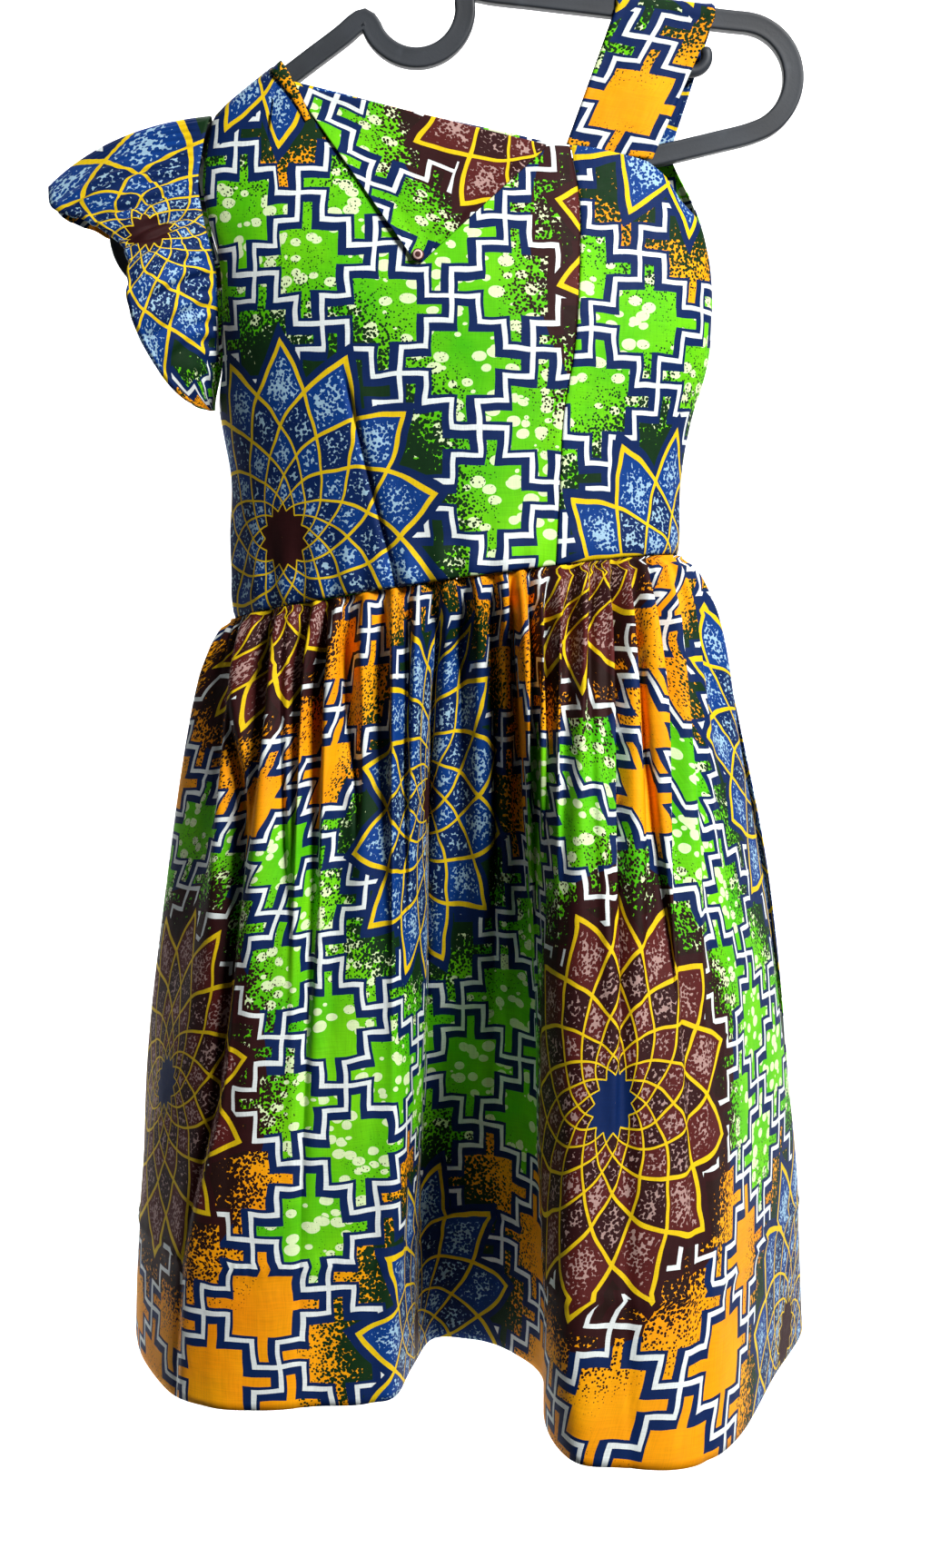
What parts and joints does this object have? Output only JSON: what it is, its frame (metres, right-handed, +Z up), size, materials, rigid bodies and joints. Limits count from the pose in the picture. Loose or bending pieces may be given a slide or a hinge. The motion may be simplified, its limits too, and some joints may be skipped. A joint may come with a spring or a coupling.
{
  "type": "sleeveless dress on a hanger",
  "caption": "Girl's gathered cotton dress with one wide strap, one ruffled cap sleeve and a fold-down neck flap, hanging open on a moulded hanger.",
  "frame": {"origin": "inside top of the hanger's hook, where a rod holds it up", "axes": "+Z up, the front of the dress looks along -Y, +X towards the shoulder strap (the picture's right)"},
  "size_m": [0.4208, 0.3115, 0.8271],
  "materials": {
    "hanger": "satin black moulded plastic",
    "bodice": "printed cotton, lime ground",
    "strap": "printed cotton, orange ground",
    "flap": "printed cotton, lime ground",
    "button": "cloth-covered, dark brown",
    "flounce": "printed cotton, blue motif",
    "skirt": "printed cotton, orange and green ground"
  },
  "bodies": {
    "root": {"hanger_frame": "hanger", "bodice_front_left": "bodice", "bodice_front_right": "bodice", "bodice_back_left": "bodice", "bodice_back_right": "bodice", "shoulder_strap": "strap", "neck_flap": "flap", "covered_button": "button", "sleeve_flounce": "flounce", "skirt_front": "skirt", "skirt_back": "skirt"}
  },
  "joints": []
}
